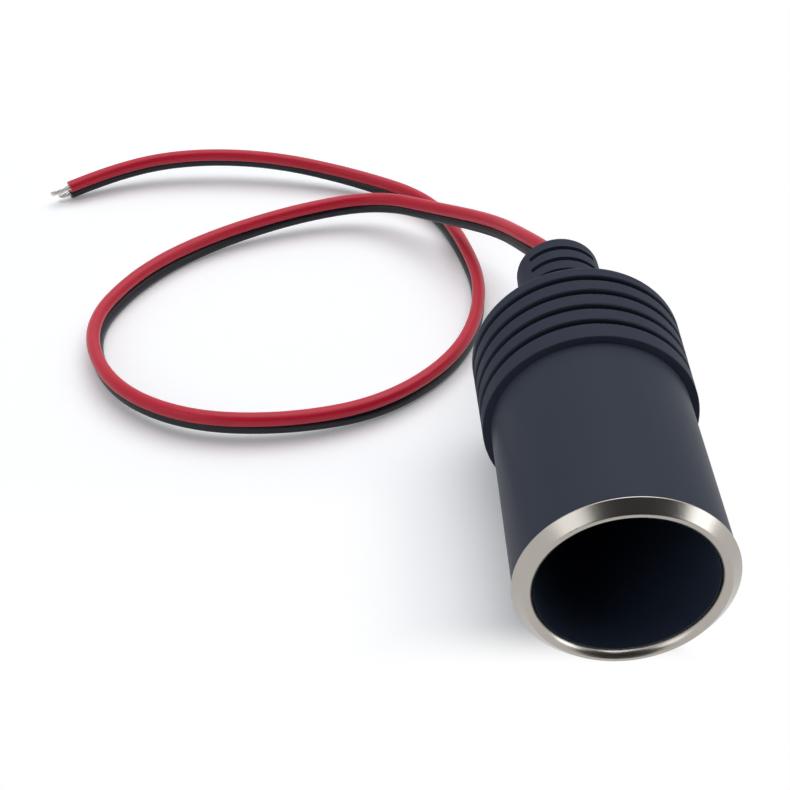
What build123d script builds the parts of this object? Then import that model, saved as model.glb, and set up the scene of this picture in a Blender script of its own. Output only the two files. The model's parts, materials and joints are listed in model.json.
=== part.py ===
from build123d import *

import math
import os

# Car accessory socket lying on its side, mouth towards -Y, with a twin lead out of its rear boot.
# Driving dimensions in millimetres and degrees. Stations run along the socket's axis from the mouth.

# Socket can: drawn sheet with the lip flared back over the barrel
bore_diameter = 21.0
bore_depth = 38.0
shell_wall = 0.4
lip_overhang = 0.26
lip_bevel = 46.0
nose_radius = 0.47
mouth_flare_radius = 1.24
nose_turn = 25.0
lip_edge_radius = 0.12
base_bend_radius = 2.5

# Barrel sleeve: moulded tube round the can, stepped down where the boot grips it
sleeve_wall = 1.79
barrel_length = 29.27
sleeve_edge_turn = 45.0
spigot_step = 0.8
spigot_length = 12.0

# Rear boot: ribbed collar, then a slotted neck round the cord
collar_step = 1.075
collar_length = 15.3
collar_draft = 0.95
collar_edge_radius = 0.15
collar_shoulder_radius = 1.0
groove_first = 3.14
groove_pitch = 3.12
groove_width = 0.98
groove_floor_width = 0.78
groove_depth = 0.83
groove_land = 2.1
rib_edge_radius = 0.2
neck_length = 19.85
neck_base_diameter = 12.7
neck_end_diameter = 11.9
neck_root_radius = 1.2
neck_end_radius = 0.93
slot_from_end = 3.08
slot_pitch = 2.88
slot_width = 0.93
slot_depth = 1.45
slot_arc = 100.0
slot_land = 3.5

# Centre contact: a brass rivet insulated from the can
contact_head_diameter = 6.4
contact_head_rim = 0.4
contact_dome = 0.5
contact_shank_diameter = 3.0
contact_clinch_diameter = 4.8
contact_clinch_height = 0.7
bush_flange_diameter = 8.6
bush_flange_thickness = 1.2
bush_edge = 0.4
bush_hub_diameter = 5.9
washer_diameter = 7.6
washer_thickness = 0.8

# Solder tags behind the can's base
tag_thickness = 0.5
tag_width = 2.4
tag_reach = 5.4
tag_bend_radius = 0.3
positive_ring_diameter = 6.6
positive_tag_height = 2.9
ground_ring_diameter = 4.4
ground_tag_height = 4.3
ground_rivet_offset = 6.2
ground_shank_diameter = 1.6
ground_head_diameter = 2.6
ground_head_height = 0.5
solder_length = 3.4
solder_diameter = 1.9
solder_film = 0.1
solder_cover = 0.5

# Twin lead: two insulated cores one above the other
core_diameter = 2.05
core_pitch = 2.15
conductor_diameter = 1.0
conductor_gap = 0.8
conductor_bare = 4.3
lead_straight = 1.5
lead_spread = 5.0
lead_bend_radius = 4.0
cord_lead_out = 6.7
bend_share = 0.45
bare_root = 0.9
red_bare = 3.6
black_bare = 2.2

slip_gap = 0.05

# Height of the cord's middle line where it lies on the floor
cord_rest = (core_pitch + core_diameter) / 2

# The cord's middle line after its straight lead-out: down over its own loop, round on the floor, then back
# under itself to the stripped ends
cord_points = [
    (-4.7, 47.0, 13.4),
    (-13.4, 57.7, 10.4),
    (-25.3, 69.6, 6.5),
    (-39.3, 69.3, 4.5),
    (-54.8, 63.4, 2.7),
    (-65.1, 52.6, cord_rest),
    (-70.8, 37.9, cord_rest),
    (-65.7, 22.6, cord_rest),
    (-53.8, 14.0, cord_rest),
    (-38.3, 13.1, cord_rest),
    (-24.8, 17.7, cord_rest),
    (-13.7, 30.0, cord_rest),
    (-9.1, 46.4, cord_rest),
    (-11.1, 62.4, cord_rest),
    (-16.0, 76.5, cord_rest),
    (-29.0, 84.9, 2.9),
    (-44.5, 89.8, 4.4),
    (-60.0, 91.8, 4.0),
    (-72.4, 89.8, 2.4),
    (-80.0, 83.4, cord_rest),
]
red_tip_turn = (-0.9, -0.35, -0.2)
black_tip_turn = (-0.95, -0.3, 0.0)

# Radii of the nested tubes
bore_radius = bore_diameter / 2
shell_radius = bore_radius + shell_wall
sleeve_bore_radius = shell_radius + slip_gap
barrel_radius = sleeve_bore_radius + sleeve_wall
spigot_radius = barrel_radius - spigot_step
lip_radius = barrel_radius + lip_overhang
collar_radius = barrel_radius + collar_step
contact_shank_radius = contact_shank_diameter / 2
contact_head_radius = contact_head_diameter / 2
ground_shank_radius = ground_shank_diameter / 2
ground_head_radius = ground_head_diameter / 2
core_radius = core_diameter / 2
conductor_radius = conductor_diameter / 2

# Stations along the axis
can_back = bore_depth + shell_wall
sleeve_end = barrel_length + spigot_length
collar_rear = barrel_length + collar_length
body_length = collar_rear + neck_length
bush_front = bore_depth - bush_flange_thickness
washer_back = can_back + washer_thickness
positive_tag_back = washer_back + tag_thickness
ground_tag_back = can_back + tag_thickness
clinch_back = positive_tag_back + contact_clinch_height
conductor_tip = clinch_back + conductor_gap
strip_end = conductor_tip + conductor_bare
tag_end = washer_back + tag_reach
can_bend_radius = base_bend_radius + shell_wall
can_bend_start = can_back - can_bend_radius

# The lip: a flare out of the bore, a tighter nose that reaches station 0, then the bevelled cone
bevel = math.radians(lip_bevel)
bevel_slope = math.tan(bevel)
turn = math.radians(nose_turn)
flare_centre_radius = bore_radius + mouth_flare_radius
flare_end_radius = flare_centre_radius - mouth_flare_radius * math.sin(turn)
flare_end_station = nose_radius * (1 - math.cos(turn))
mouth_station = flare_end_station + mouth_flare_radius * math.cos(turn)
nose_ring_radius = flare_end_radius + nose_radius * math.sin(turn)
cone_radius = nose_ring_radius + nose_radius * math.sin(bevel)
cone_station = nose_radius * (1 - math.cos(bevel))
lip_station = cone_station + (lip_radius - cone_radius) * bevel_slope

# The sheet's other side: the hollow of the rolled lip, where the sleeve's front edge sits
wall_out = shell_wall * math.sin(bevel)
wall_back = shell_wall * math.cos(bevel)
lip_back_radius = lip_radius - wall_out
lip_back_station = lip_station + wall_back
hollow_radius = mouth_flare_radius - shell_wall
hollow_end_radius = flare_centre_radius - hollow_radius * math.sin(turn)
hollow_end_station = mouth_station - hollow_radius * math.cos(turn)


def lip_back(radius):
    """Station of the lip's rear cone at a radius."""
    return lip_back_station - (lip_back_radius - radius) * bevel_slope


def collar_top(station):
    """Radius of the collar's rib tops at a station."""
    return collar_radius + (station - barrel_length) * math.tan(math.radians(collar_draft))


# The socket rests on the rounded edges of its lip and of its collar, which tilts the axis
lip_rest_radius = lip_radius - lip_edge_radius * (math.sin(bevel) + math.cos(bevel))
lip_rest_station = lip_station + lip_edge_radius * (math.cos(bevel) - math.sin(bevel))
collar_rest_station = barrel_length + collar_edge_radius
collar_rest_radius = collar_top(collar_rest_station) - collar_edge_radius / math.cos(math.radians(collar_draft))
rest_run = collar_rest_station - lip_rest_station
rest_rise = collar_rest_radius - lip_rest_radius
edge_difference = collar_edge_radius - lip_edge_radius
tilt = math.atan2(rest_rise, rest_run) + math.asin(edge_difference / math.hypot(rest_run, rest_rise))

# Placement: the middle of the socket's length stands over the origin
axis_dir = Vector(0, math.cos(tilt), math.sin(tilt))
up_dir = Vector(0, -math.sin(tilt), math.cos(tilt))
right_dir = Vector(1, 0, 0)
neck_flat_radius = neck_end_diameter / 2 - neck_end_radius
front_y = -nose_ring_radius * math.sin(tilt)
rear_y = body_length * math.cos(tilt) + neck_flat_radius * math.sin(tilt)
mouth_z = lip_rest_radius * math.cos(tilt) + lip_edge_radius - lip_rest_station * math.sin(tilt)
mouth = Vector(0, -(front_y + rear_y) / 2, mouth_z)

socket_axis = Axis(mouth, axis_dir)
profile_plane = Plane(origin=mouth, x_dir=right_dir, z_dir=up_dir)
side_plane = Plane(origin=mouth, x_dir=axis_dir, z_dir=right_dir)


def on_axis(station, height=0.0):
    """Point at a station, raised off the axis by a height."""
    return mouth + axis_dir * station + up_dir * height


def across(station):
    """Plane across the axis at a station, with its Y up."""
    return Plane(origin=on_axis(station), x_dir=-right_dir, z_dir=axis_dir)


def corner(sketch, radius, station):
    """Profile corner nearest to a radius and a station."""
    return sketch.vertices().sort_by_distance((radius, station, 0))[0]


def bend_radii(points):
    """Largest comfortable bend at each inner point of a route."""
    radii = []
    for before, here, after in zip(points, points[1:], points[2:]):
        shorter = min((here - before).length, (after - here).length)
        half_turn = math.radians((here - before).get_angle(after - here)) / 2
        radii.append(bend_share * shorter / math.tan(half_turn))
    return radii


def round_wire(points, radii, radius):
    """Round wire along straight runs joined by tangent arcs."""
    with BuildPart() as wire:
        with BuildLine() as route:
            FilletPolyline(*points, radius=radii)
        with BuildSketch(Plane(origin=points[0], z_dir=points[1] - points[0])):
            Circle(radius)
        sweep(path=route.line)
    return wire


def straight_wire(start, end, radius):
    """Round wire along one straight run."""
    run = end - start
    with BuildPart() as wire:
        with BuildSketch(Plane(origin=start, z_dir=run)):
            Circle(radius)
        extrude(amount=run.length)
    return wire


def solder_tag(front, hole_height, hole_radius, ring_radius, tail_height):
    """Ring tag on a rivet, its tail bent to the rear at a height off the axis."""
    root = (front + tag_thickness / 2, hole_height)
    bend = (front + tag_thickness / 2, tail_height)
    tip = (tag_end, tail_height)
    with BuildPart() as tag:
        with BuildSketch(across(front)):
            with Locations((0, hole_height)):
                Circle(ring_radius)
        extrude(amount=tag_thickness)
        with BuildSketch(side_plane):
            with BuildLine():
                FilletPolyline(root, bend, tip, radius=tag_bend_radius + tag_thickness / 2)
                offset(amount=tag_thickness / 2, side=Side.BOTH, kind=Kind.INTERSECTION)
            make_face()
        extrude(amount=tag_width / 2, both=True)
        with BuildSketch(across(front)):
            with Locations((0, hole_height)):
                Circle(hole_radius)
        extrude(amount=tag_thickness, mode=Mode.SUBTRACT)
    return tag


def solder_bead(height, tag, conductor):
    """Bead of solder round a conductor, on its tag."""
    with BuildPart() as bead:
        middle = conductor_tip - solder_cover + solder_length / 2
        with BuildSketch(side_plane):
            with BuildLine():
                EllipticalCenterArc((middle, height), solder_length / 2, solder_diameter / 2, arc_size=180)
                Line((middle - solder_length / 2, height), (middle + solder_length / 2, height))
            make_face()
        revolve(axis=Axis(on_axis(middle, height), axis_dir))
        add(tag.part, mode=Mode.SUBTRACT)
        add(conductor.part, mode=Mode.SUBTRACT)
    return bead


# Socket can with its flared lip
with BuildPart() as socket_shell:
    with BuildSketch(profile_plane) as shell_profile:
        with BuildLine():
            TangentArc(
                (bore_radius, mouth_station), (flare_end_radius, flare_end_station), tangent=(0, -1)
            )
            TangentArc(
                (flare_end_radius, flare_end_station),
                (cone_radius, cone_station),
                tangent=(math.cos(turn), -math.sin(turn)),
            )
            Polyline(
                (cone_radius, cone_station),
                (lip_radius, lip_station),
                (lip_back_radius, lip_back_station),
                (cone_radius - wall_out, cone_station + wall_back),
                (hollow_end_radius, hollow_end_station),
            )
            TangentArc(
                (shell_radius, mouth_station), (hollow_end_radius, hollow_end_station), tangent=(0, -1)
            )
            Polyline(
                (shell_radius, mouth_station),
                (shell_radius, can_back),
                (bush_hub_diameter / 2 + slip_gap, can_back),
                (bush_hub_diameter / 2 + slip_gap, bore_depth),
                (bore_radius, bore_depth),
                (bore_radius, mouth_station),
            )
        make_face()
        fillet(corner(shell_profile, lip_radius, lip_station), lip_edge_radius)
        fillet(corner(shell_profile, lip_back_radius, lip_back_station), lip_edge_radius)
        fillet(corner(shell_profile, bore_radius, bore_depth), base_bend_radius)
        fillet(corner(shell_profile, shell_radius, can_back), can_bend_radius)
    revolve(axis=socket_axis)
    with BuildSketch(across(bore_depth)):
        with Locations((0, -ground_rivet_offset)):
            Circle(ground_shank_radius)
    extrude(amount=shell_wall, mode=Mode.SUBTRACT)

# Barrel sleeve, its front edge seated in the hollow of the lip
lip_seat_gap = slip_gap / math.cos(bevel)
edge_turn = math.radians(sleeve_edge_turn)
edge_inner_radius = flare_centre_radius - (hollow_radius - slip_gap) * math.sin(edge_turn)
edge_station = mouth_station - (hollow_radius - slip_gap) * math.cos(edge_turn)
edge_outer_radius = lip_back_radius - (lip_back_station + lip_seat_gap - edge_station) / bevel_slope
with BuildPart() as barrel_sleeve:
    with BuildSketch(profile_plane):
        with BuildLine():
            TangentArc(
                (sleeve_bore_radius, mouth_station), (edge_inner_radius, edge_station), tangent=(0, -1)
            )
            Polyline(
                (edge_inner_radius, edge_station),
                (edge_outer_radius, edge_station),
                (barrel_radius, lip_back(barrel_radius) + lip_seat_gap),
                (barrel_radius, barrel_length),
                (spigot_radius, barrel_length),
                (spigot_radius, sleeve_end),
                (sleeve_bore_radius, sleeve_end),
                (sleeve_bore_radius, mouth_station),
            )
        make_face()
    revolve(axis=socket_axis)

# Stepped bush that keeps the centre contact off the can
with BuildPart() as contact_insulator:
    with BuildSketch(profile_plane) as bush_profile:
        with BuildLine():
            Polyline(
                (contact_shank_radius, bush_front),
                (bush_flange_diameter / 2, bush_front),
                (bush_flange_diameter / 2, bore_depth),
                (bush_hub_diameter / 2, bore_depth),
                (bush_hub_diameter / 2, can_back),
                (contact_shank_radius, can_back),
                close=True,
            )
        make_face()
        chamfer(corner(bush_profile, bush_flange_diameter / 2, bush_front), bush_edge)
    revolve(axis=socket_axis)

# Washer between the can's base and the positive tag
with BuildPart() as rear_insulator:
    with BuildSketch(across(can_back)):
        Circle(washer_diameter / 2)
        Circle(contact_shank_radius, mode=Mode.SUBTRACT)
    extrude(amount=washer_thickness)

# Centre contact: domed head in the bore, shank through the bush, clinched behind the tag
contact_shoulder = bush_front - contact_head_rim
with BuildPart() as centre_contact:
    with BuildSketch(profile_plane):
        with BuildLine():
            TangentArc(
                (0, contact_shoulder - contact_dome), (contact_head_radius, contact_shoulder), tangent=(1, 0)
            )
            Polyline(
                (contact_head_radius, contact_shoulder),
                (contact_head_radius, bush_front),
                (contact_shank_radius, bush_front),
                (contact_shank_radius, positive_tag_back),
                (contact_clinch_diameter / 2, positive_tag_back),
                (contact_shank_radius, clinch_back),
                (0, clinch_back),
                (0, contact_shoulder - contact_dome),
            )
        make_face()
    revolve(axis=socket_axis)

# Rivet that fixes the ground tag to the can's base
ground_rivet_axis = Axis(on_axis(bore_depth, -ground_rivet_offset), axis_dir)
with BuildPart() as ground_rivet:
    with BuildSketch(Plane(origin=on_axis(bore_depth, -ground_rivet_offset), x_dir=right_dir, z_dir=up_dir)):
        with BuildLine():
            back = ground_tag_back - bore_depth
            Polyline(
                (0, -ground_head_height),
                (ground_shank_radius, -ground_head_height),
                (ground_head_radius, 0),
                (ground_shank_radius, 0),
                (ground_shank_radius, back),
                (ground_head_radius, back),
                (ground_shank_radius, back + ground_head_height),
                (0, back + ground_head_height),
                close=True,
            )
        make_face()
    revolve(axis=ground_rivet_axis)

# Solder tags, one each side of the axis
positive_lug = solder_tag(
    washer_back, 0.0, contact_shank_radius, positive_ring_diameter / 2, positive_tag_height
)
ground_lug = solder_tag(
    can_back,
    -ground_rivet_offset,
    ground_shank_radius,
    ground_ring_diameter / 2,
    -ground_tag_height,
)

# Wires inside the boot: each stripped end lies along the inner face of its tag
wire_side = tag_thickness / 2 + solder_film + conductor_radius
red_height = positive_tag_height - wire_side
black_height = wire_side - ground_tag_height
red_conductor_end = straight_wire(
    on_axis(conductor_tip, red_height), on_axis(strip_end, red_height), conductor_radius
)
black_conductor_end = straight_wire(
    on_axis(conductor_tip, black_height), on_axis(strip_end, black_height), conductor_radius
)


def lead_end(height, exit_height):
    """Insulated wire from its stripped end at a tag to the neck's rear face."""
    spread_start = strip_end + lead_straight
    points = [
        on_axis(strip_end, height),
        on_axis(spread_start, height),
        on_axis(spread_start + lead_spread, exit_height),
        on_axis(body_length, exit_height),
    ]
    return round_wire(points, lead_bend_radius, core_radius)


red_lead_end = lead_end(red_height, core_pitch / 2)
black_lead_end = lead_end(black_height, -core_pitch / 2)
positive_solder = solder_bead(red_height, positive_lug, red_conductor_end)
ground_solder = solder_bead(black_height, ground_lug, black_conductor_end)

# Rear boot, moulded round the sleeve's spigot, the tags and the wires
groove_flare = groove_width - groove_floor_width / 2
groove_count = int((collar_length - groove_first - groove_land) / groove_pitch) + 1
slot_count = int((neck_length - slot_from_end - slot_land) / slot_pitch) + 1
collar_rear_radius = collar_top(collar_rear)
slot_floor_radius = neck_end_diameter / 2 - slot_depth
slot_start = 90 - slot_arc / 2
moulded_in = [
    rear_insulator,
    centre_contact,
    ground_rivet,
    positive_lug,
    ground_lug,
    positive_solder,
    ground_solder,
    red_conductor_end,
    black_conductor_end,
    red_lead_end,
    black_lead_end,
]
with BuildPart() as rear_boot:
    with BuildSketch(profile_plane) as boot_profile:
        with BuildLine():
            Line((0, can_back), (shell_radius - can_bend_radius, can_back))
            TangentArc(
                (shell_radius - can_bend_radius, can_back), (shell_radius, can_bend_start), tangent=(1, 0)
            )
            Polyline(
                (shell_radius, can_bend_start),
                (sleeve_bore_radius, can_bend_start),
                (sleeve_bore_radius, sleeve_end),
                (spigot_radius, sleeve_end),
                (spigot_radius, barrel_length),
                (collar_radius, barrel_length),
                (collar_rear_radius, collar_rear),
                (neck_base_diameter / 2, collar_rear),
                (neck_end_diameter / 2, body_length),
                (0, body_length),
                (0, can_back),
            )
        make_face()
        fillet(corner(boot_profile, collar_radius, barrel_length), collar_edge_radius)
        fillet(corner(boot_profile, collar_rear_radius, collar_rear), collar_shoulder_radius)
        fillet(corner(boot_profile, neck_base_diameter / 2, collar_rear), neck_root_radius)
        fillet(corner(boot_profile, neck_end_diameter / 2, body_length), neck_end_radius)
        for index in range(groove_count):
            station = barrel_length + groove_first + index * groove_pitch
            top = collar_top(station)
            with BuildLine():
                Polyline(
                    (top + groove_depth, station - groove_flare),
                    (top - groove_depth, station - groove_floor_width / 2),
                    (top - groove_depth, station + groove_floor_width / 2),
                    (top + groove_depth, station + groove_flare),
                    close=True,
                )
            make_face(mode=Mode.SUBTRACT)
            for edge in (station - groove_width / 2, station + groove_width / 2):
                fillet(corner(boot_profile, collar_top(edge), edge), rib_edge_radius)
    revolve(axis=socket_axis)
    for index in range(slot_count):
        station = body_length - slot_from_end - index * slot_pitch
        with BuildSketch(across(station - slot_width / 2)):
            with BuildLine():
                floor_arc = CenterArc((0, 0), slot_floor_radius, slot_start, slot_arc)
                outer_arc = CenterArc((0, 0), neck_base_diameter, slot_start, slot_arc)
                Line(floor_arc @ 0, outer_arc @ 0)
                Line(floor_arc @ 1, outer_arc @ 1)
            make_face()
            mirror(about=Plane.XZ)
        extrude(amount=slot_width, mode=Mode.SUBTRACT)
    for piece in moulded_in:
        add(piece.part, mode=Mode.SUBTRACT)

# Free stretch of the twin lead, from the neck's rear face to the stripped ends
cord_exit = on_axis(body_length)
cord_route = [cord_exit, on_axis(body_length + cord_lead_out)] + [Vector(*point) for point in cord_points]


def cord_core(side):
    """One core of the lead, above or below the cord's middle line."""
    points = [point + up_dir * (side * core_pitch / 2) for point in cord_route]
    return round_wire(points, bend_radii(points), core_radius)


def bare_end(side, turn, length):
    """Tinned end that stands out of a core, turned a little off its line."""
    start = cord_route[-1] + up_dir * (side * core_pitch / 2)
    onward = (cord_route[-1] - cord_route[-2]).normalized()
    bend = start + onward * bare_root
    tip = bend + Vector(*turn).normalized() * (length - bare_root)
    points = [start, bend, tip]
    return round_wire(points, bend_radii(points), conductor_radius)


red_core = cord_core(1)
black_core = cord_core(-1)
red_strands = bare_end(1, red_tip_turn, red_bare)
black_strands = bare_end(-1, black_tip_turn, black_bare)

pieces = {
    "socket_shell": socket_shell,
    "barrel_sleeve": barrel_sleeve,
    "rear_boot": rear_boot,
    "contact_insulator": contact_insulator,
    "rear_insulator": rear_insulator,
    "centre_contact": centre_contact,
    "positive_lug": positive_lug,
    "ground_lug": ground_lug,
    "ground_rivet": ground_rivet,
    "positive_solder": positive_solder,
    "ground_solder": ground_solder,
    "red_lead_end": red_lead_end,
    "black_lead_end": black_lead_end,
    "red_conductor_end": red_conductor_end,
    "black_conductor_end": black_conductor_end,
    "red_core": red_core,
    "black_core": black_core,
    "red_strands": red_strands,
    "black_strands": black_strands,
}
os.makedirs("parts", exist_ok=True)
for name, piece in pieces.items():
    piece.part.label = name
    export_step(piece.part, f"parts/{name}.step")

print("tilt", round(math.degrees(tilt), 3), "mouth", mouth, "exit", cord_exit)
print("cord bend radii", [round(radius, 1) for radius in bend_radii(cord_route)])
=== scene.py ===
import json
import math

import bmesh
import bpy
from bpy.props import FloatProperty, FloatVectorProperty, PointerProperty
from bpy.types import Operator, Panel, PropertyGroup
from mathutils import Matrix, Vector


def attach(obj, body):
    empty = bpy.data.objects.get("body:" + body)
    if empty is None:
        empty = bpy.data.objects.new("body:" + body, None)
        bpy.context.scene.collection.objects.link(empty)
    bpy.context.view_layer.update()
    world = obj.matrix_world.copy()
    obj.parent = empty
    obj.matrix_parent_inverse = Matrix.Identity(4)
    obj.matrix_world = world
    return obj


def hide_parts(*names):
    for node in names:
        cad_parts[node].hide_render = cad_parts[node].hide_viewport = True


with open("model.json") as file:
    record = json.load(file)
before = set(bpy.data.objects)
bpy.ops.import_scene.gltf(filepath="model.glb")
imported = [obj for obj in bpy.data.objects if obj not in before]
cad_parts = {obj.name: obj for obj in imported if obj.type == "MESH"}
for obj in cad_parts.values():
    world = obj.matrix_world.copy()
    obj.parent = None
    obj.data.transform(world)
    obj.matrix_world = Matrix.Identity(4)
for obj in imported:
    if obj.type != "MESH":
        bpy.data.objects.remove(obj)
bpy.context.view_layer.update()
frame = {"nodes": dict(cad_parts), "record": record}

bl_info = {
    "name": "Car Accessory Socket",
    "version": (1, 0, 0),
    "blender": (4, 5, 0),
    "location": "View3D > Sidebar > Socket",
    "description": "Finishes a car accessory socket, lays its twin lead and sets a white studio",
    "category": "Object",
}

NODES = frame["nodes"]
BORE = frame["record"]["mounts"][0]

# From the middle of the mouth to the middle of the bore's straight wall, where the mount stands
MOUTH_TO_BORE = 0.018334

# The socket's axis: the way in, the two directions across it, and the middle of the mouth
INWARD = -Vector(BORE["axis"])
RIGHT = Vector((1.0, 0.0, 0.0))
UPWARD = RIGHT.cross(INWARD)
MOUTH = Vector(BORE["pos_m"]) - INWARD * MOUTH_TO_BORE

# Soft edge of the painted shade behind the lip, a dark coat standing in for the shade deep in the
# bore: how far in from the mouth and out from the axis
BORE_SHADE_IN = (0.00088, 0.00104)
BORE_SHADE_OUT = (0.01072, 0.0108)
BORE_SHADE_ROUGHNESS = 0.55

# The boot's collar: where it starts, its radius there, how that grows with the station, and the
# soft ends of its ribbed stretch
COLLAR_START = 0.02927
COLLAR_RADIUS = 0.013815
COLLAR_TAPER = 0.016582
RIBS_START = (0.0299, 0.0301)
RIBS_END = (0.0429, 0.0432)

# Painted shade in the grooves: how far below the ribs' tops a groove begins to darken, and where it
# is darkest
GROOVE_SHADE = (0.00018, 0.00055)

# Specular levels: the painted shade in the bore, the two dull mouldings and the sheaths
BORE_SHADE_GLOSS = 0.1
MOULDING_GLOSS = 0.03
SHEATH_GLOSS = 0.3

# Height of the lead's middle line where it lies on the floor
LEAD_REST = 0.00207

# The lead's middle line, from the neck's rear face round its loop to the stripped ends
LEAD_LINE = [
    (0.0, 0.0322936, 0.0148948),
    (0.0, 0.0352922, 0.0149877),
    (-0.0031, 0.0426, 0.0137),
    (-0.0069, 0.0535, 0.0106),
    (-0.0154, 0.0647, 0.0068),
    (-0.0252, 0.0727, 0.0050),
    (-0.0394, 0.0709, 0.0036),
    (-0.0549, 0.0637, 0.0022),
    (-0.0651, 0.0526, LEAD_REST),
    (-0.0707, 0.0379, LEAD_REST),
    (-0.0653, 0.0220, 0.0027),
    (-0.0535, 0.0134, 0.0030),
    (-0.0383, 0.0127, 0.0028),
    (-0.0247, 0.0174, 0.0023),
    (-0.0135, 0.0297, LEAD_REST),
    (-0.0091, 0.0464, LEAD_REST),
    (-0.0114, 0.0624, LEAD_REST),
    (-0.0160, 0.0765, LEAD_REST),
    (-0.0290, 0.0849, 0.0029),
    (-0.0445, 0.0894, 0.0046),
    (-0.0598, 0.0904, 0.0047),
    (-0.0721, 0.0879, 0.0034),
    (-0.0800, 0.0834, LEAD_REST),
]

# How far the red core leans to the left of the black one at each of those points, in degrees, seen
# along the lead from the neck; below 0 it leans to the right
LEAD_LEAN = (
    0, 0, 10, 20, 22, 22, 22, 12, 0, -6, -18, -24, -22, -12, -5, 0, 0, 8, 25, 34, 34, 32, 30,
)

# Where the stripped ends turn after they leave the sheath
RED_TURN = (-0.9, -0.35, -0.2)
BLACK_TURN = (-0.95, -0.3, 0.0)

# How far each strand of a stripped end was cut back, middle strand first
RED_CUT = (0.0, 0.00022, 0.00005, 0.00034, 0.00012, 0.00028, 0.00008)
BLACK_CUT = (0.00006, 0.0, 0.00018, 0.00025, 0.00004, 0.00021, 0.00012)

# Steps of a core between two of its points and round its tube, and sides of the tube of one strand
CORE_STEPS = 16
CORE_ROUND = 8
STRAND_SIDES = 10

# Width of the camera's sensor in millimetres, and half the width of the floor
SENSOR_WIDTH = 36.0
FLOOR_HALF = 3.0

# Soft edges past which painted light turns the floor white and hides the shadow there: to the right
# of the socket's axis, in front of its mouth, in the corner at the front left, and round the middle
# of the lead's loop
WHITE_RIGHT = (0.0, 0.010)
WHITE_FRONT = (0.023, 0.031)
WHITE_CORNER_FRONT = (-0.008, 0.004)
WHITE_CORNER_LEFT = (-0.034, -0.022)
WHITE_MIDDLE = (-0.035, 0.035, 0.0)
WHITE_FAR = (0.080, 0.130)

# The dim part of the sky over the camera: where it is, its soft edge as the cosine from its middle,
# and how bright it is beside the rest
DIM_WAY = Vector((0.18, -0.75, 0.64)).normalized()
DIM_EDGE = (0.75, 0.82)
DIM_SHARE = 0.09


class SocketFinishes(PropertyGroup):
    """Colours and grain of the socket's pieces."""

    nickel: FloatVectorProperty(
        name="Nickel", description="Plated lip of the can", subtype="COLOR", size=3, min=0.0,
        max=1.0, default=(0.41, 0.385, 0.35),
    )
    # Painted shade: dark colour put inside the mouth, where the deep metal bore lies in shade
    painted_bore_shade: FloatVectorProperty(
        name="Bore black", description="Dark lining inside the mouth", subtype="COLOR", size=3,
        min=0.0, max=1.0, default=(0.028, 0.039, 0.066),
    )
    barrel: FloatVectorProperty(
        name="Barrel", description="Smooth barrel moulding", subtype="COLOR", size=3, min=0.0,
        max=1.0, default=(0.042, 0.0485, 0.067),
    )
    boot: FloatVectorProperty(
        name="Boot", description="Ribbed boot moulding", subtype="COLOR", size=3, min=0.0, max=1.0,
        default=(0.0385, 0.0445, 0.064),
    )
    brass: FloatVectorProperty(
        name="Brass", description="Centre contact", subtype="COLOR", size=3, min=0.0, max=1.0,
        default=(0.70, 0.53, 0.24),
    )
    fibre: FloatVectorProperty(
        name="Fibre", description="Pressed insulators", subtype="COLOR", size=3, min=0.0, max=1.0,
        default=(0.10, 0.07, 0.05),
    )
    tin: FloatVectorProperty(
        name="Tin", description="Tinned tags, solder and strands", subtype="COLOR", size=3, min=0.0,
        max=1.0, default=(0.78, 0.76, 0.72),
    )
    grain: FloatProperty(
        name="Grain", description="Height of the mouldings' fine grain", subtype="DISTANCE",
        unit="LENGTH", min=0.0, default=0.000012,
    )


class LeadSettings(PropertyGroup):
    """Sizes and colours of the twin lead."""

    core: FloatProperty(
        name="Core", description="Diameter of one insulated core", subtype="DISTANCE",
        unit="LENGTH", min=0.0005, default=0.00205,
    )
    pitch: FloatProperty(
        name="Pitch", description="Distance between the two cores", subtype="DISTANCE",
        unit="LENGTH", min=0.0005, default=0.00209,
    )
    conductor: FloatProperty(
        name="Conductor", description="Diameter of the stripped bundle", subtype="DISTANCE",
        unit="LENGTH", min=0.0001, default=0.0010,
    )
    bare_root: FloatProperty(
        name="Bare root", description="Straight start of a stripped end", subtype="DISTANCE",
        unit="LENGTH", min=0.0, default=0.0009,
    )
    red_bare: FloatProperty(
        name="Red bare end", description="Stripped length of the red core", subtype="DISTANCE",
        unit="LENGTH", min=0.0005, default=0.0036,
    )
    black_bare: FloatProperty(
        name="Black bare end", description="Stripped length of the black core", subtype="DISTANCE",
        unit="LENGTH", min=0.0005, default=0.0022,
    )
    lay: FloatProperty(
        name="Lay", description="Length of one full turn of the strands", subtype="DISTANCE",
        unit="LENGTH", min=0.001, default=0.007,
    )
    red: FloatVectorProperty(
        name="Red", description="Sheath of the positive core", subtype="COLOR", size=3, min=0.0,
        max=1.0, default=(0.54, 0.011, 0.035),
    )
    black: FloatVectorProperty(
        name="Black", description="Sheath of the negative core", subtype="COLOR", size=3, min=0.0,
        max=1.0, default=(0.0105, 0.012, 0.019),
    )


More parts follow.
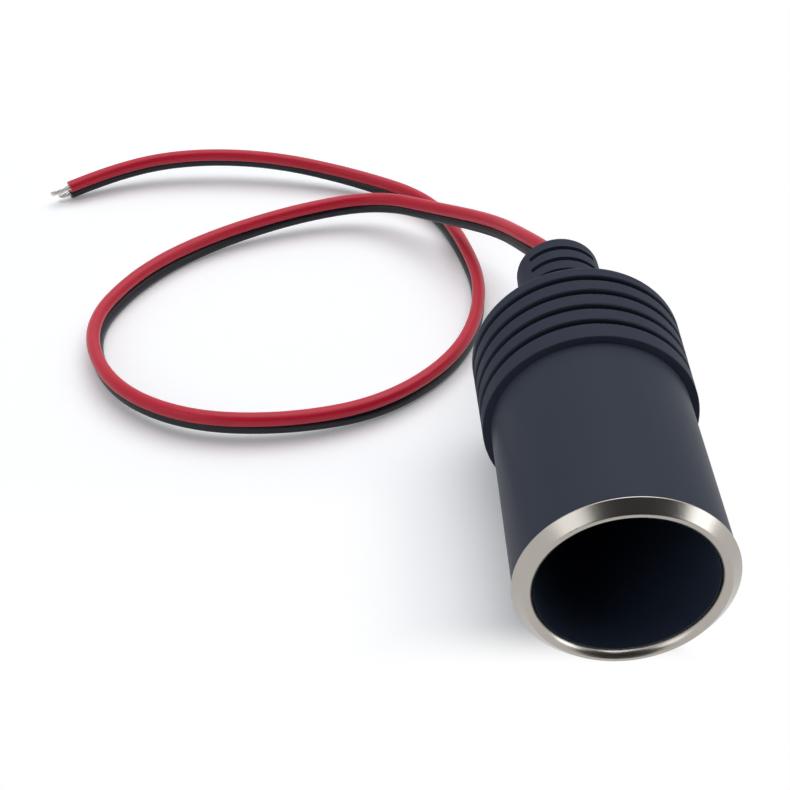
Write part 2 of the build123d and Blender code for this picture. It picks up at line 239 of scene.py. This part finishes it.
class StageSettings(PropertyGroup):
    """Camera, floor and lights."""

    lens: FloatProperty(
        name="Lens", description="Focal length on a 36 mm sensor", subtype="DISTANCE_CAMERA",
        unit="CAMERA", min=10.0, default=65.45,
    )
    camera_place: FloatVectorProperty(
        name="Camera", description="Where the camera stands", subtype="TRANSLATION", unit="LENGTH",
        size=3, default=(-0.02991, -0.14626, 0.12553),
    )
    camera_down: FloatProperty(
        name="Down", description="How far the camera looks down", subtype="ANGLE", unit="ROTATION",
        default=math.radians(36.58),
    )
    camera_right: FloatProperty(
        name="Right", description="How far the camera turns to the right", subtype="ANGLE",
        unit="ROTATION", default=math.radians(1.99),
    )
    floor: FloatVectorProperty(
        name="Floor", description="Colour of the paper floor", subtype="COLOR", size=3, min=0.0,
        max=1.0, default=(0.97, 0.972, 0.978),
    )
    sky: FloatVectorProperty(
        name="Sky", description="Soft light from all round", subtype="COLOR", size=3, min=0.0,
        max=1.0, default=(0.40, 0.415, 0.44),
    )
    floor_lift: FloatProperty(
        name="Floor lift", description="How much whiter the floor looks than it is lit",
        subtype="FACTOR", min=0.0, max=1.0, default=0.16,
    )
    key_power: FloatProperty(
        name="Key", description="Power of the soft light overhead", unit="POWER", min=0.0,
        default=7.4,
    )
    key_size: FloatProperty(
        name="Key size", description="Side of the soft light overhead", subtype="DISTANCE",
        unit="LENGTH", min=0.01, default=1.1,
    )
    key_place: FloatVectorProperty(
        name="Key place", description="Where the soft light overhead hangs", subtype="TRANSLATION",
        unit="LENGTH", size=3, default=(0.16, 0.24, 0.93),
    )
    key_colour: FloatVectorProperty(
        name="Key colour", description="Colour of the soft light overhead", subtype="COLOR", size=3,
        min=0.0, max=1.0, default=(0.97, 0.985, 1.0),
    )
    fill_power: FloatProperty(
        name="Fill", description="Power of the soft light at the left", unit="POWER", min=0.0,
        default=0.84,
    )
    fill_size: FloatProperty(
        name="Fill size", description="Side of the soft light at the left", subtype="DISTANCE",
        unit="LENGTH", min=0.01, default=0.5,
    )
    fill_place: FloatVectorProperty(
        name="Fill place", description="Where the soft light at the left stands",
        subtype="TRANSLATION", unit="LENGTH", size=3, default=(-0.66, -0.56, 0.50),
    )
    fill_colour: FloatVectorProperty(
        name="Fill colour", description="Colour of the soft light at the left", subtype="COLOR",
        size=3, min=0.0, max=1.0, default=(0.96, 0.99, 1.0),
    )
    corner_power: FloatProperty(
        name="Corner", description="Power of the small light that the lip mirrors", unit="POWER",
        min=0.0, default=0.46,
    )
    corner_size: FloatProperty(
        name="Corner size", description="Side of the small light that the lip mirrors",
        subtype="DISTANCE", unit="LENGTH", min=0.01, default=0.25,
    )
    corner_place: FloatVectorProperty(
        name="Corner place", description="Where the small light that the lip mirrors stands",
        subtype="TRANSLATION", unit="LENGTH", size=3, default=(0.53, -0.21, 0.19),
    )
    corner_colour: FloatVectorProperty(
        name="Corner colour", description="Colour of the small light that the lip mirrors",
        subtype="COLOR", size=3, min=0.0, max=1.0, default=(0.92, 0.97, 1.0),
    )


class Value:
    """A number that changes over a surface. Arithmetic on it adds Math nodes."""

    def __init__(self, finish, socket):
        self.finish = finish
        self.socket = socket

    def operate(self, operation, *others):
        numbers = dict(enumerate((self, *others)))
        return self.finish.node("ShaderNodeMath", {"operation": operation}, numbers)

    def reflected(self, operation, other):
        return self.finish.node("ShaderNodeMath", {"operation": operation}, {0: other, 1: self})

    def __add__(self, other):
        return self.operate("ADD", other)

    __radd__ = __add__

    def __sub__(self, other):
        return self.operate("SUBTRACT", other)

    def __rsub__(self, other):
        return self.reflected("SUBTRACT", other)

    def __mul__(self, other):
        return self.operate("MULTIPLY", other)

    __rmul__ = __mul__

    def __pow__(self, other):
        return self.operate("POWER", other)

    def larger(self, other):
        return self.operate("MAXIMUM", other)

    def ease(self, low, high):
        """0 below low, 1 above high and a smooth step between."""
        sockets = {"Value": self, "From Min": low, "From Max": high}
        return self.finish.node("ShaderNodeMapRange", {"interpolation_type": "SMOOTHSTEP"}, sockets)


class Finish:
    """Node tree of a material or a world, built one node at a time."""

    def __init__(self, owner):
        owner.use_nodes = True
        self.owner = owner
        self.tree = owner.node_tree
        self.tree.nodes.clear()

    def node(self, kind, settings=None, sockets=None, output=0):
        """Adds a node, sets it up, feeds its sockets and gives back one of its outputs."""
        made = self.tree.nodes.new(kind)
        for name, value in (settings or {}).items():
            setattr(made, name, value)
        for name, value in (sockets or {}).items():
            self.feed(made, name, value)
        if not made.outputs:
            return None
        outputs = [socket for socket in made.outputs if socket.enabled]
        if isinstance(output, str):
            outputs = [socket for socket in outputs if socket.name == output]
            return Value(self, outputs[0])
        return Value(self, outputs[output])

    def feed(self, made, name, value):
        """Links or sets one socket, by its name or its place among the sockets in use."""
        inputs = [socket for socket in made.inputs if socket.enabled]
        if isinstance(name, int):
            socket = inputs[name]
        else:
            socket = next(each for each in inputs if each.name == name)
        if isinstance(value, Value):
            self.tree.links.new(value.socket, socket)
        elif socket.type == "RGBA" and len(value) == 3:
            socket.default_value = (*value, 1.0)
        else:
            socket.default_value = value

    def place(self):
        """Position in the shared frame, in metres."""
        return self.node("ShaderNodeTexCoord", output="Object")

    def dot(self, vector, direction):
        """How far a vector reaches along a direction."""
        return self.node(
            "ShaderNodeVectorMath", {"operation": "DOT_PRODUCT"}, {0: vector, 1: direction}, "Value"
        )

    def noise(self, vector, scale, detail=2.0, rough=0.5):
        """Soft noise from 0 to 1, scale being how many blobs there are in a metre."""
        sockets = {"Vector": vector, "Scale": scale, "Detail": detail, "Roughness": rough}
        return self.node("ShaderNodeTexNoise", {}, sockets, "Fac")

    def stretched(self, vector, x, y, z):
        """A vector scaled along each axis, for grain that runs one way."""
        sockets = {0: vector, 1: (x, y, z)}
        return self.node("ShaderNodeVectorMath", {"operation": "MULTIPLY"}, sockets)

    def blend(self, mask, first, second):
        """Colour between two colours."""
        return self.node(
            "ShaderNodeMix", {"data_type": "RGBA"}, {"Factor": mask, "A": first, "B": second}
        )

    def bump(self, height, distance, strength):
        """Normal of a surface raised by a height from 0 to 1."""
        sockets = {"Height": height, "Distance": distance, "Strength": strength}
        return self.node("ShaderNodeBump", {}, sockets)

    def surface(self, **sockets):
        """Principled shader on the output, with sockets named in words joined by underscores."""
        named = {name.replace("_", " "): value for name, value in sockets.items()}
        shader = self.node("ShaderNodeBsdfPrincipled", {}, named)
        self.node("ShaderNodeOutputMaterial", {}, {"Surface": shader})
        return self.owner

    def from_the_mouth(self):
        """Distances from the middle of the mouth: to the right, upwards and in along the axis."""
        offset = self.node(
            "ShaderNodeVectorMath", {"operation": "SUBTRACT"}, {0: self.place(), 1: MOUTH}
        )
        return self.dot(offset, RIGHT), self.dot(offset, UPWARD), self.dot(offset, INWARD)

    def turned(self):
        """Position turned so that Z runs in along the socket's axis."""
        side, rise, station = self.from_the_mouth()
        return self.node("ShaderNodeCombineXYZ", {}, {"X": side, "Y": rise, "Z": station})

    def round_the_axis(self):
        """Station along the socket's axis and distance from it, in metres."""
        side, rise, station = self.from_the_mouth()
        return station, (side * side + rise * rise) ** 0.5


def tinted(colour, factor):
    """A colour made lighter or darker."""
    return tuple(min(1.0, part * factor) for part in colour)


def new_finish(name):
    """Finish for a new material."""
    return Finish(bpy.data.materials.new(name))


def dress(material, *nodes):
    """Gives CAD nodes their material."""
    for node in nodes:
        data = NODES[node].data
        data.materials.clear()
        data.materials.append(material)


def plated_can(settings):
    """Polished nickel on the lip, with turned lines, and painted shade inside the mouth: a dark,
    dull, non-metal coat where the deep bore lies in shade.
    """
    finish = new_finish("nickel_plate")
    station, radius = finish.round_the_axis()
    lines = finish.noise(finish.stretched(finish.turned(), 250.0, 250.0, 26000.0), 1.0, detail=3.0)
    speck = finish.noise(finish.place(), 7000.0)
    cloud = finish.noise(finish.place(), 220.0, detail=3.0)
    # Painted shade: past the lip the bore is made dark and not metal, standing in for its shade
    bore_shade_mask = station.ease(*BORE_SHADE_IN) * (1 - radius.ease(*BORE_SHADE_OUT))
    bright = finish.blend(cloud, tinted(settings.nickel, 0.94), tinted(settings.nickel, 1.05))
    polish = 0.17 + lines * 0.09 + speck * 0.05
    return finish.surface(
        Base_Color=finish.blend(bore_shade_mask, bright, settings.painted_bore_shade),
        Metallic=1 - bore_shade_mask,
        Roughness=polish + bore_shade_mask * (BORE_SHADE_ROUGHNESS - polish),
        Normal=finish.bump(lines * 0.6 + speck * 0.4, distance=0.000004, strength=0.35),
        Specular_IOR_Level=BORE_SHADE_GLOSS,
    )


def barrel_plastic(settings):
    """Smooth satin moulding with faint flow marks along the barrel."""
    finish = new_finish("barrel_plastic")
    turned = finish.turned()
    grain = finish.noise(turned, 5200.0)
    flow = finish.noise(finish.stretched(turned, 260.0, 260.0, 30.0), 1.0)
    cloud = finish.noise(turned, 90.0)
    marks = flow * 0.5 + cloud * 0.5
    colour = finish.blend(marks, tinted(settings.barrel, 0.88), tinted(settings.barrel, 1.12))
    return finish.surface(
        Base_Color=colour,
        Roughness=0.40 + (cloud - 0.5) * 0.08 + (grain - 0.5) * 0.06,
        Normal=finish.bump(grain, distance=settings.grain * 0.35, strength=0.4),
        Specular_IOR_Level=MOULDING_GLOSS,
    )


def boot_plastic(settings):
    """Matte soft moulding with a fine grain, and painted shade down in the grooves."""
    finish = new_finish("boot_plastic")
    station, radius = finish.round_the_axis()
    turned = finish.turned()
    grain = finish.noise(turned, 3600.0, detail=3.0, rough=0.6)
    pores = finish.noise(turned, 9000.0, detail=1.0)
    cloud = finish.noise(turned, 130.0, detail=3.0)
    rib_top = (station - COLLAR_START) * COLLAR_TAPER + COLLAR_RADIUS
    on_collar = station.ease(*RIBS_START) * (1 - station.ease(*RIBS_END))
    # Painted shade: the colour darkens to half down in the grooves
    groove_shade_mask = (rib_top - radius).ease(*GROOVE_SHADE) * on_collar
    marks = cloud * 0.6 + grain * 0.4
    colour = finish.blend(marks, tinted(settings.boot, 0.82), tinted(settings.boot, 1.18))
    return finish.surface(
        Base_Color=finish.blend(groove_shade_mask, colour, tinted(settings.boot, 0.5)),
        Roughness=0.52 + (grain - 0.5) * 0.16 + (cloud - 0.5) * 0.06,
        Normal=finish.bump(grain * 0.7 + pores * 0.3, distance=settings.grain, strength=0.6),
        Specular_IOR_Level=MOULDING_GLOSS,
    )


def pressed_fibre(settings):
    """Brown pressed board with short fibres."""
    finish = new_finish("insulator_fibre")
    stretched = finish.stretched(finish.turned(), 2600.0, 900.0, 4000.0)
    fibres = finish.noise(stretched, 1.0, detail=4.0, rough=0.7)
    colour = finish.blend(fibres, tinted(settings.fibre, 0.6), tinted(settings.fibre, 1.5))
    return finish.surface(
        Base_Color=colour,
        Roughness=0.6 + (fibres - 0.5) * 0.2,
        Normal=finish.bump(fibres, distance=0.00002, strength=0.5),
    )


def turned_brass(settings):
    """Brass with lathe rings and a little tarnish."""
    finish = new_finish("contact_brass")
    turned = finish.turned()
    rings = finish.node(
        "ShaderNodeTexWave",
        {"wave_type": "RINGS", "rings_direction": "Z"},
        {"Vector": turned, "Scale": 900.0, "Distortion": 0.6, "Detail": 2.0},
        "Fac",
    )
    tarnish = finish.noise(turned, 500.0, detail=3.0).ease(0.45, 0.75)
    colour = finish.blend(tarnish, settings.brass, tinted(settings.brass, 0.55))
    return finish.surface(
        Base_Color=colour,
        Metallic=1.0,
        Roughness=0.22 + rings * 0.08 + tarnish * 0.2,
        Normal=finish.bump(rings, distance=0.000005, strength=0.4),
    )


def dull_metal(name, colour, rough):
    """Plain metal with fine drawn lines and dull spots."""
    finish = new_finish(name)
    place = finish.place()
    lines = finish.noise(finish.stretched(place, 9000.0, 1200.0, 9000.0), 1.0)
    spots = finish.noise(place, 1600.0, detail=3.0).ease(0.4, 0.7)
    return finish.surface(
        Base_Color=finish.blend(spots, colour, tinted(colour, 0.7)),
        Metallic=1.0,
        Roughness=rough + lines * 0.1 + spots * 0.1,
        Normal=finish.bump(lines, distance=0.000006, strength=0.4),
    )


def extruded_sheath(name, colour, rough):
    """Semi-gloss soft sheath with faint ripples from its extrusion."""
    finish = new_finish(name)
    place = finish.place()
    ripple = finish.noise(place, 700.0)
    grain = finish.noise(place, 6500.0)
    cloud = finish.noise(place, 120.0)
    marks = cloud * 0.7 + ripple * 0.3
    return finish.surface(
        Base_Color=finish.blend(marks, tinted(colour, 0.9), tinted(colour, 1.1)),
        Roughness=rough + (ripple - 0.5) * 0.1 + (grain - 0.5) * 0.08,
        Normal=finish.bump(ripple * 0.6 + grain * 0.4, distance=0.00001, strength=0.3),
        Specular_IOR_Level=SHEATH_GLOSS,
    )


def smooth_curve(name, points, diameter):
    """Curve object on a smooth line steered by its control points."""
    data = bpy.data.curves.new(name, "CURVE")
    data.dimensions = "3D"
    data.resolution_u = CORE_STEPS
    spline = data.splines.new("NURBS")
    spline.points.add(len(points) - 1)
    for control, point in zip(spline.points, points):
        control.co = (*point, 1.0)
    spline.order_u = 3
    spline.use_endpoint_u = True
    data.bevel_depth = diameter / 2
    data.bevel_resolution = CORE_ROUND
    data.use_fill_caps = True
    made = bpy.data.objects.new(name, data)
    bpy.context.scene.collection.objects.link(made)
    return made


def points_along(name, points):
    """Points read along a smooth line."""
    guide = smooth_curve(name, points, 0.0)
    bpy.context.view_layer.update()
    mesh = bpy.data.meshes.new_from_object(guide)
    read = [vertex.co.copy() for vertex in mesh.vertices]
    data = guide.data
    bpy.data.objects.remove(guide)
    bpy.data.curves.remove(data)
    bpy.data.meshes.remove(mesh)
    return read


def heading(line, at):
    """Direction of a line at one of its points."""
    return (line[min(at + 1, len(line) - 1)] - line[max(at - 1, 0)]).normalized()


def turned_from(start, toward, angle):
    """Direction turned by an angle from one direction toward another that is square to it."""
    return start * math.cos(angle) + toward * math.sin(angle)


def join_rings(made, rings):
    """Faces between rings of vertices that follow each other, and over both ends."""
    for last, ring in zip(rings, rings[1:]):
        for side in range(len(ring)):
            after = (side + 1) % len(ring)
            made.faces.new((last[side], last[after], ring[after], ring[side])).smooth = True
    made.faces.new(rings[0][::-1])
    made.faces.new(rings[-1])


def strand_bundle(name, line, diameter, lay, cuts):
    """Mesh of fine strands wound round a line, one in the middle and the rest round it."""
    strand = diameter / 3
    made = bmesh.new()
    along = [0.0]
    for before, after in zip(line, line[1:]):
        along.append(along[-1] + (after - before).length)
    for index, cut in enumerate(cuts):
        rings = []
        for at, (point, run) in enumerate(zip(line, along)):
            if rings and run > along[-1] - cut:
                break
            ahead = heading(line, at)
            across = ahead.cross(UPWARD).normalized()
            over = across.cross(ahead)
            middle = point.copy()
            if index:
                angle = math.tau * (index / (len(cuts) - 1) + run / lay)
                middle += turned_from(across, over, angle) * strand
            ring = []
            for side in range(STRAND_SIDES):
                offset = turned_from(across, over, math.tau * side / STRAND_SIDES) * (strand / 2)
                ring.append(made.verts.new(middle + offset))
            rings.append(ring)
        join_rings(made, rings)
    bmesh.ops.recalc_face_normals(made, faces=made.faces)
    mesh = bpy.data.meshes.new(name)
    made.to_mesh(mesh)
    made.free()
    bundle = bpy.data.objects.new(name, mesh)
    bpy.context.scene.collection.objects.link(bundle)
    return bundle


class FinishCan(Operator):
    """Finish the plated can with its bright lip and the painted shade in its mouth"""

    bl_idname = "accessory_socket.finish_can"
    bl_label = "Finish can"

    def execute(self, context):
        dress(plated_can(context.scene.socket_finishes), "socket_shell")
        return {"FINISHED"}


class FinishMouldings(Operator):
    """Finish the smooth barrel and the ribbed boot"""

    bl_idname = "accessory_socket.finish_mouldings"
    bl_label = "Finish mouldings"

    def execute(self, context):
        settings = context.scene.socket_finishes
        dress(barrel_plastic(settings), "barrel_sleeve")
        dress(boot_plastic(settings), "rear_boot")
        return {"FINISHED"}


class FinishContacts(Operator):
    """Finish the contact, the insulators, the tags and the solder inside the socket"""

    bl_idname = "accessory_socket.finish_contacts"
    bl_label = "Finish contacts"

    def execute(self, context):
        settings = context.scene.socket_finishes
        dress(pressed_fibre(settings), "contact_insulator", "rear_insulator")
        dress(turned_brass(settings), "centre_contact")
        tag = dull_metal("tinned_brass", tinted(settings.tin, 0.85), rough=0.28)
        dress(tag, "positive_lug", "ground_lug")
        steel = dull_metal("rivet_steel", tinted(settings.tin, 0.7), rough=0.32)
        dress(steel, "ground_rivet")
        solder = dull_metal("solder", tinted(settings.tin, 0.8), rough=0.36)
        dress(solder, "positive_solder", "ground_solder")
        return {"FINISHED"}


class LayLead(Operator):
    """Lay the red and black cores along their loop, with their stripped ends"""

    bl_idname = "accessory_socket.lay_lead"
    bl_label = "Lay lead"

    def execute(self, context):
        lead = context.scene.lead_settings
        metal = dull_metal("tinned_copper", context.scene.socket_finishes.tin, rough=0.26)
        red = extruded_sheath("red_sheath", lead.red, rough=0.36)
        black = extruded_sheath("black_sheath", lead.black, rough=0.38)
        dress(red, "red_lead_end")
        dress(black, "black_lead_end")
        dress(metal, "red_conductor_end", "black_conductor_end")
        self.core(lead, "red", 1, red, metal, RED_TURN, lead.red_bare, RED_CUT)
        self.core(lead, "black", -1, black, metal, BLACK_TURN, lead.black_bare, BLACK_CUT)
        return {"FINISHED"}

    def beside(self, away):
        """Control points of a core that runs a distance to one side of the lead's middle line."""
        line = [Vector(point) for point in LEAD_LINE]
        moved = []
        for at, (point, lean) in enumerate(zip(line, LEAD_LEAN)):
            ahead = heading(line, at)
            left = UPWARD.cross(ahead).normalized()
            over = ahead.cross(left)
            moved.append(point + turned_from(over, left, math.radians(lean)) * away)
        return moved

    def core(self, lead, side, sign, sheath, metal, turn, bare, cuts):
        """One core of the lead and its stripped end."""
        line = self.beside(sign * lead.pitch / 2)
        core = smooth_curve(side + "_lead", line, lead.core)
        core.data.materials.append(sheath)
        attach(core, "root")
        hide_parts(side + "_core")
        side + "_sheath"
        onward = (line[-1] - line[-2]).normalized()
        bend = line[-1] + onward * lead.bare_root
        tip = bend + Vector(turn).normalized() * (bare - lead.bare_root)
        bundle = strand_bundle(
            side + "_bare_end",
            points_along(side + "_bare_line", [line[-1], bend, tip]),
            lead.conductor,
            lead.lay,
            cuts,
        )
        bundle.data.materials.append(metal)
        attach(bundle, "root")
        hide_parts(side + "_strands")


class SetStage(Operator):
    """Set the camera, the white floor and the soft lights"""

    bl_idname = "accessory_socket.set_stage"
    bl_label = "Set stage"

    def execute(self, context):
        settings = context.scene.stage_settings
        context.scene.view_settings.view_transform = "Standard"
        self.camera(context, settings)
        self.floor(context, settings)
        self.sky(context, settings)
        self.lamp(context, settings, "key")
        self.lamp(context, settings, "fill")
        self.lamp(context, settings, "corner").visible_diffuse = False
        return {"FINISHED"}

    def camera(self, context, settings):
        """Camera for a square picture."""
        data = bpy.data.cameras.new("camera")
        data.lens = settings.lens
        data.sensor_width = SENSOR_WIDTH
        data.clip_start = 0.01
        data.clip_end = 20.0
        camera = bpy.data.objects.new("camera", data)
        camera.location = settings.camera_place
        camera.rotation_euler = (math.pi / 2 - settings.camera_down, 0.0, -settings.camera_right)
        context.scene.collection.objects.link(camera)
        context.scene.camera = camera

    def floor(self, context, settings):
        """Wide flat floor of white paper."""
        made = bmesh.new()
        bmesh.ops.create_grid(made, x_segments=8, y_segments=8, size=FLOOR_HALF)
        mesh = bpy.data.meshes.new("floor")
        made.to_mesh(mesh)
        made.free()
        mesh.materials.append(self.paper(settings))
        floor = bpy.data.objects.new("floor", mesh)
        context.scene.collection.objects.link(floor)

    def paper(self, settings):
        """Paper that keeps the shadow near the socket; further out, and to the right of and in
        front of the socket, painted light turns it white and hides the shadow.
        """
        finish = new_finish("paper_floor")
        place = finish.place()
        tooth = finish.noise(place, 900.0)
        colour = finish.blend(tooth, tinted(settings.floor, 0.99), tinted(settings.floor, 1.01))
        seen = self.seen(finish)
        paper = finish.node(
            "ShaderNodeBsdfPrincipled",
            {},
            {"Base Color": colour, "Roughness": 1.0, "Specular IOR Level": 0.0,
             "Emission Color": seen * settings.floor_lift, "Emission Strength": 1.0},
        )
        glow = finish.node("ShaderNodeEmission", {}, {"Color": (1.0, 1.0, 1.0), "Strength": 1.0})
        rightward = finish.dot(place, (1.0, 0.0, 0.0))
        nearer = finish.dot(place, (0.0, -1.0, 0.0))
        right = rightward.ease(*WHITE_RIGHT)
        front = nearer.ease(*WHITE_FRONT)
        corner = nearer.ease(*WHITE_CORNER_FRONT) * (1 - rightward.ease(*WHITE_CORNER_LEFT))
        distance = finish.node(
            "ShaderNodeVectorMath", {"operation": "DISTANCE"}, {0: place, 1: WHITE_MIDDLE}, "Value"
        )
        far = distance.ease(*WHITE_FAR)
        # Painted light: where these masks reach, the camera and reflections see pure white floor in
        # place of its shadow
        white = seen * right.larger(front).larger(far).larger(corner)
        mixed = finish.node("ShaderNodeMixShader", {}, {0: white, 1: paper, 2: glow})
        finish.node("ShaderNodeOutputMaterial", {}, {"Surface": mixed})
        return finish.owner

    def seen(self, finish):
        """1 for rays that show the background: from the camera, off metal and through glass."""
        eye = finish.node("ShaderNodeLightPath", output="Is Camera Ray")
        glossy = finish.node("ShaderNodeLightPath", output="Is Glossy Ray")
        through = finish.node("ShaderNodeLightPath", output="Is Transmission Ray")
        return eye.larger(glossy).larger(through)

    def sky(self, context, settings):
        """Soft light from all round, dimmer over the camera, and white to the eye."""
        world = bpy.data.worlds.new("studio")
        context.scene.world = world
        finish = Finish(world)
        way = finish.node("ShaderNodeTexCoord", output="Generated")
        dim = finish.dot(way, DIM_WAY).ease(*DIM_EDGE)
        soft = finish.node("ShaderNodeBackground", {}, {"Color": settings.sky, "Strength": 1.0})
        white = finish.node("ShaderNodeBackground", {}, {"Color": (1.0, 1.0, 1.0), "Strength": 1.0})
        dimmed = tinted(settings.sky, DIM_SHARE)
        dark = finish.node("ShaderNodeBackground", {}, {"Color": dimmed, "Strength": 1.0})
        eye = finish.node("ShaderNodeLightPath", output="Is Camera Ray")
        seen = self.seen(finish)
        bright = finish.node("ShaderNodeMixShader", {}, {0: seen, 1: soft, 2: white})
        mixed = finish.node("ShaderNodeMixShader", {}, {0: dim * (1 - eye), 1: bright, 2: dark})
        finish.node("ShaderNodeOutputWorld", {}, {"Surface": mixed})

    def lamp(self, context, settings, which):
        """Square soft light aimed at the socket, from the settings that start with its name."""
        data = bpy.data.lights.new(which + "_light", "AREA")
        data.energy = getattr(settings, which + "_power")
        data.size = getattr(settings, which + "_size")
        data.color = getattr(settings, which + "_colour")
        place = Vector(getattr(settings, which + "_place"))
        lamp = bpy.data.objects.new(which + "_light", data)
        lamp.location = place
        lamp.rotation_mode = "QUATERNION"
        lamp.rotation_quaternion = (-place).to_track_quat("-Z", "Y")
        context.scene.collection.objects.link(lamp)
        return lamp


STEPS = (FinishCan, FinishMouldings, FinishContacts, LayLead, SetStage)


class SocketPanel(Panel):
    """Steps and settings of the socket"""

    bl_idname = "VIEW3D_PT_accessory_socket"
    bl_label = "Accessory socket"
    bl_space_type = "VIEW_3D"
    bl_region_type = "UI"
    bl_category = "Socket"

    def draw(self, context):
        for step in STEPS:
            self.layout.operator(step.bl_idname)
        for name in ("socket_finishes", "lead_settings", "stage_settings"):
            group = getattr(context.scene, name)
            box = self.layout.box()
            for prop in group.bl_rna.properties:
                if not prop.is_readonly and prop.identifier != "name":
                    box.prop(group, prop.identifier)


CLASSES = (SocketFinishes, LeadSettings, StageSettings, *STEPS, SocketPanel)


def register():
    """Registers the settings, the steps and the panel."""
    for each in CLASSES:
        bpy.utils.register_class(each)
    bpy.types.Scene.socket_finishes = PointerProperty(type=SocketFinishes)
    bpy.types.Scene.lead_settings = PointerProperty(type=LeadSettings)
    bpy.types.Scene.stage_settings = PointerProperty(type=StageSettings)


def unregister():
    """Takes them away again."""
    del bpy.types.Scene.stage_settings
    del bpy.types.Scene.lead_settings
    del bpy.types.Scene.socket_finishes
    for each in reversed(CLASSES):
        bpy.utils.unregister_class(each)


def main():
    """Builds the scene."""
    register()
    bpy.ops.accessory_socket.finish_can()
    bpy.ops.accessory_socket.finish_mouldings()
    bpy.ops.accessory_socket.finish_contacts()
    bpy.ops.accessory_socket.lay_lead()
    bpy.ops.accessory_socket.set_stage()


if __name__ == "__main__":
    main()
